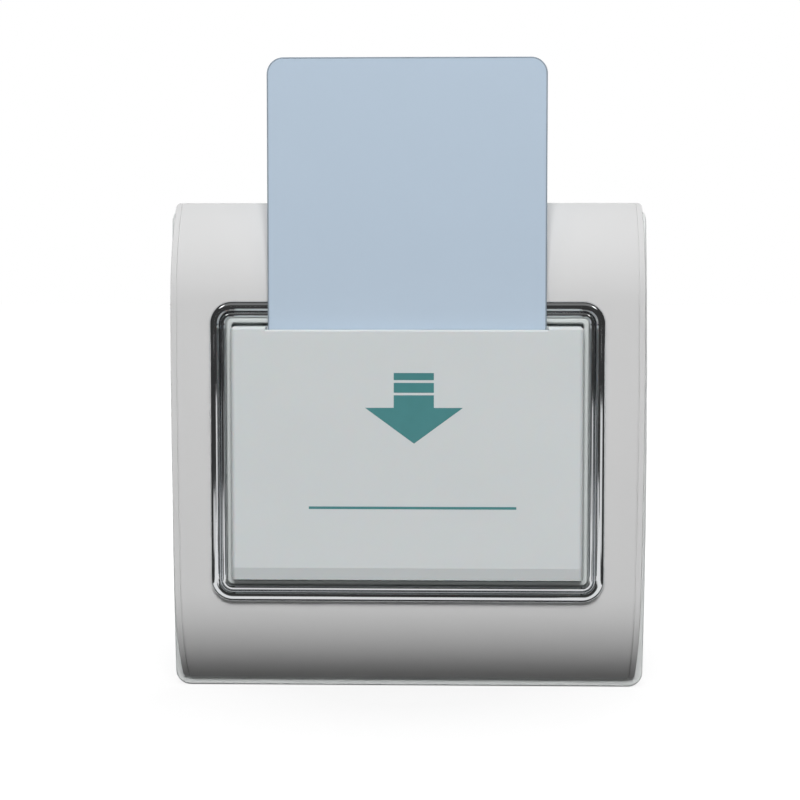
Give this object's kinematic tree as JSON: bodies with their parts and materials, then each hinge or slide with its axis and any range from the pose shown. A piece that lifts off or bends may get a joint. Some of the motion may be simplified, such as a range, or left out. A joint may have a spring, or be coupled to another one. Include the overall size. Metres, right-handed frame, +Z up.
{
  "type": "key card switch",
  "caption": "Wall switch with a chrome-rimmed pocket that turns a room's power on when a key card stands in it.",
  "frame": {"origin": "middle of the wall face, halfway between the two wall-box screw slots", "axes": "+Z up, +Y into the wall, the front faces -Y"},
  "size_m": [0.0952, 0.0471, 0.1246],
  "materials": {
    "cover_grey": "satin gloss moulded",
    "trim_chrome": "bright plated",
    "bezel_pale": "satin moulded",
    "panel_pale": "satin moulded, faintly translucent",
    "frame_white": "moulded",
    "card_blue": "laminated card",
    "carrier_grey": "moulded",
    "spring_steel": "drawn",
    "screw_steel": "zinc plated",
    "housing_grey": "moulded",
    "board_green": "solder mask",
    "relay_blue": "moulded",
    "film_yellow": "cast resin",
    "can_sleeve": "shrink sleeve",
    "epoxy_black": "moulded epoxy",
    "varistor_blue": "dipped epoxy",
    "fuse_body": "ceramic",
    "resistor_tan": "lacquer",
    "lamp_lens": "clear resin",
    "lead_tin": "tinned wire",
    "terminal_green": "moulded",
    "clamp_brass": "bright",
    "switch_black": "moulded",
    "button_red": "moulded",
    "slider_white": "acetal"
  },
  "bodies": {
    "switch_unit": {"front_cover": "cover_grey", "chrome_trim_ring": "trim_chrome", "inner_bezel": "bezel_pale", "pocket_front_panel": "panel_pale", "pocket_back_plate": "carrier_grey", "card_leaf_springs": "spring_steel", "panel_screws": "screw_steel", "cover_screws": "screw_steel", "mounting_frame": "frame_white", "rear_housing": "housing_grey", "housing_screws": "screw_steel", "circuit_board": "board_green", "board_screws": "screw_steel", "component_leads": "lead_tin", "power_relay": "relay_blue", "film_capacitor": "film_yellow", "electrolytic_capacitor": "can_sleeve", "bridge_rectifier": "epoxy_black", "timer_chip": "epoxy_black", "varistor": "varistor_blue", "fuse": "fuse_body", "resistors": "resistor_tan", "locator_lamp": "lamp_lens", "terminal_block": "terminal_green", "terminal_cages": "clamp_brass", "terminal_screws": "screw_steel", "microswitch_body": "switch_black", "microswitch_pins": "lead_tin", "microswitch_pivot": "screw_steel", "return_spring": "spring_steel"},
    "slider": {"card_slider": "slider_white"},
    "card": {"key_card": "card_blue"},
    "lever": {"microswitch_lever": "spring_steel"},
    "button": {"microswitch_button": "button_red"}
  },
  "joints": [
    {"name": "card_press", "type": "slide", "parent": "switch_unit", "child": "slider", "axis": [0, 0, 1], "range_m": [0, 0.0035], "stiffness_N_per_m": 20, "springref_m": 0.0095, "deforming": ["return_spring"]},
    {"name": "card_withdraw", "type": "slide", "parent": "slider", "child": "card", "axis": [0, 0, 1], "range_m": [0, 0.045]},
    {"name": "lever_swing", "type": "hinge", "parent": "switch_unit", "child": "lever", "pos_m": [-0.0135, 0.0038, -0.00332], "axis": [0, -1, 0], "range_deg": [0, 11]},
    {"name": "button_travel", "type": "slide", "parent": "switch_unit", "child": "button", "axis": [0, 0, 1], "range_m": [0, 0.0011]}
  ],
  "couplings": [
    {"joint": "lever_swing", "follows": "card_press", "rad_per_m": 54.8},
    {"joint": "button_travel", "follows": "card_press", "ratio": 0.3}
  ]
}
